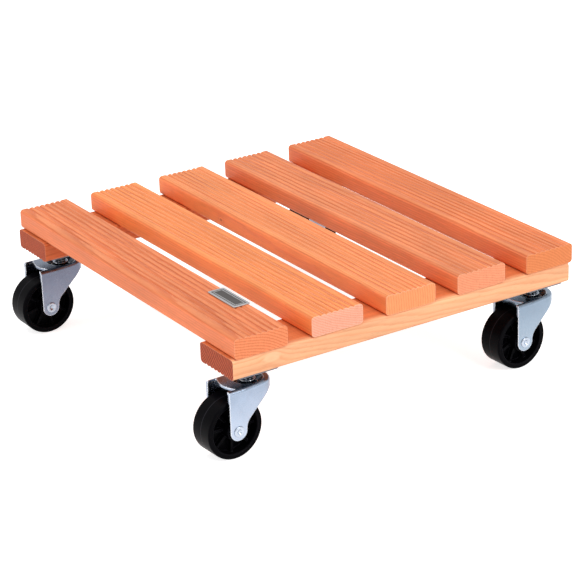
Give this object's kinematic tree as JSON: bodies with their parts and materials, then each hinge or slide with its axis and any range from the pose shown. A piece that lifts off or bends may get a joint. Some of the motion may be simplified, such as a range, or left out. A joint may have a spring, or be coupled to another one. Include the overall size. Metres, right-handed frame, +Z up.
{
  "type": "plant caddy",
  "caption": "Square slatted wooden plant caddy: ribbed boards on two cross rails, carried by swivel casters with black wheels in bright forks.",
  "frame": {"origin": "on the floor, under the centre of the overall box", "axes": "+X runs along the slats, +Y runs across them from the slat with the badge to the far slat, +Z is up"},
  "size_m": [0.355, 0.3504, 0.1063],
  "materials": {
    "slat_wood": "oiled softwood, ribbed",
    "rail_wood": "oiled softwood, ribbed",
    "screw_steel": "zinc plated",
    "badge_metal": "bare, satin",
    "zinc_plated_steel": "bright zinc plate over smooth pressed sheet",
    "rivet_steel": "bright zinc plate",
    "ball_steel": "polished",
    "black_plastic": "moulded, semi gloss"
  },
  "bodies": {
    "deck": {"slat_1": "slat_wood", "slat_2": "slat_wood", "slat_3": "slat_wood", "slat_4": "slat_wood", "slat_5": "slat_wood", "rail_left": "rail_wood", "rail_right": "rail_wood", "deck_screws": "screw_steel", "plate_screws": "screw_steel", "badge_plate": "badge_metal", "near_left_top_plate": "zinc_plated_steel", "near_left_lower_cup": "zinc_plated_steel", "near_left_king_pin": "rivet_steel", "near_right_top_plate": "zinc_plated_steel", "near_right_lower_cup": "zinc_plated_steel", "near_right_king_pin": "rivet_steel", "far_left_top_plate": "zinc_plated_steel", "far_left_lower_cup": "zinc_plated_steel", "far_left_king_pin": "rivet_steel", "far_right_top_plate": "zinc_plated_steel", "far_right_lower_cup": "zinc_plated_steel", "far_right_king_pin": "rivet_steel"},
    "near_left_swivel": {"near_left_fork": "zinc_plated_steel", "near_left_upper_balls": "ball_steel", "near_left_lower_balls": "ball_steel", "near_left_axle": "rivet_steel"},
    "near_left_roller": {"near_left_wheel": "black_plastic"},
    "near_right_swivel": {"near_right_fork": "zinc_plated_steel", "near_right_upper_balls": "ball_steel", "near_right_lower_balls": "ball_steel", "near_right_axle": "rivet_steel"},
    "near_right_roller": {"near_right_wheel": "black_plastic"},
    "far_left_swivel": {"far_left_fork": "zinc_plated_steel", "far_left_upper_balls": "ball_steel", "far_left_lower_balls": "ball_steel", "far_left_axle": "rivet_steel"},
    "far_left_roller": {"far_left_wheel": "black_plastic"},
    "far_right_swivel": {"far_right_fork": "zinc_plated_steel", "far_right_upper_balls": "ball_steel", "far_right_lower_balls": "ball_steel", "far_right_axle": "rivet_steel"},
    "far_right_roller": {"far_right_wheel": "black_plastic"}
  },
  "joints": [
    {"name": "near_left_swivel", "type": "hinge", "parent": "deck", "child": "near_left_swivel", "pos_m": [-0.1543, -0.13, 0.05], "axis": [0, 0, 1], "continuous": true},
    {"name": "near_left_spin", "type": "hinge", "parent": "near_left_swivel", "child": "near_left_roller", "pos_m": [-0.1543, -0.15, 0.025], "axis": [1, 0, 0], "continuous": true},
    {"name": "near_right_swivel", "type": "hinge", "parent": "deck", "child": "near_right_swivel", "pos_m": [0.1543, -0.13, 0.05], "axis": [0, 0, 1], "continuous": true},
    {"name": "near_right_spin", "type": "hinge", "parent": "near_right_swivel", "child": "near_right_roller", "pos_m": [0.15517, -0.14998, 0.025], "axis": [0.999, 0.0436, 0], "continuous": true},
    {"name": "far_left_swivel", "type": "hinge", "parent": "deck", "child": "far_left_swivel", "pos_m": [-0.1543, 0.151, 0.05], "axis": [0, 0, 1], "continuous": true},
    {"name": "far_left_spin", "type": "hinge", "parent": "far_left_swivel", "child": "far_left_roller", "pos_m": [-0.15482, 0.13101, 0.025], "axis": [0.9997, -0.0262, 0], "continuous": true},
    {"name": "far_right_swivel", "type": "hinge", "parent": "deck", "child": "far_right_swivel", "pos_m": [0.1543, 0.151, 0.05], "axis": [0, 0, 1], "continuous": true},
    {"name": "far_right_spin", "type": "hinge", "parent": "far_right_swivel", "child": "far_right_roller", "pos_m": [0.155, 0.13101, 0.025], "axis": [0.9994, 0.0349, 0], "continuous": true}
  ]
}
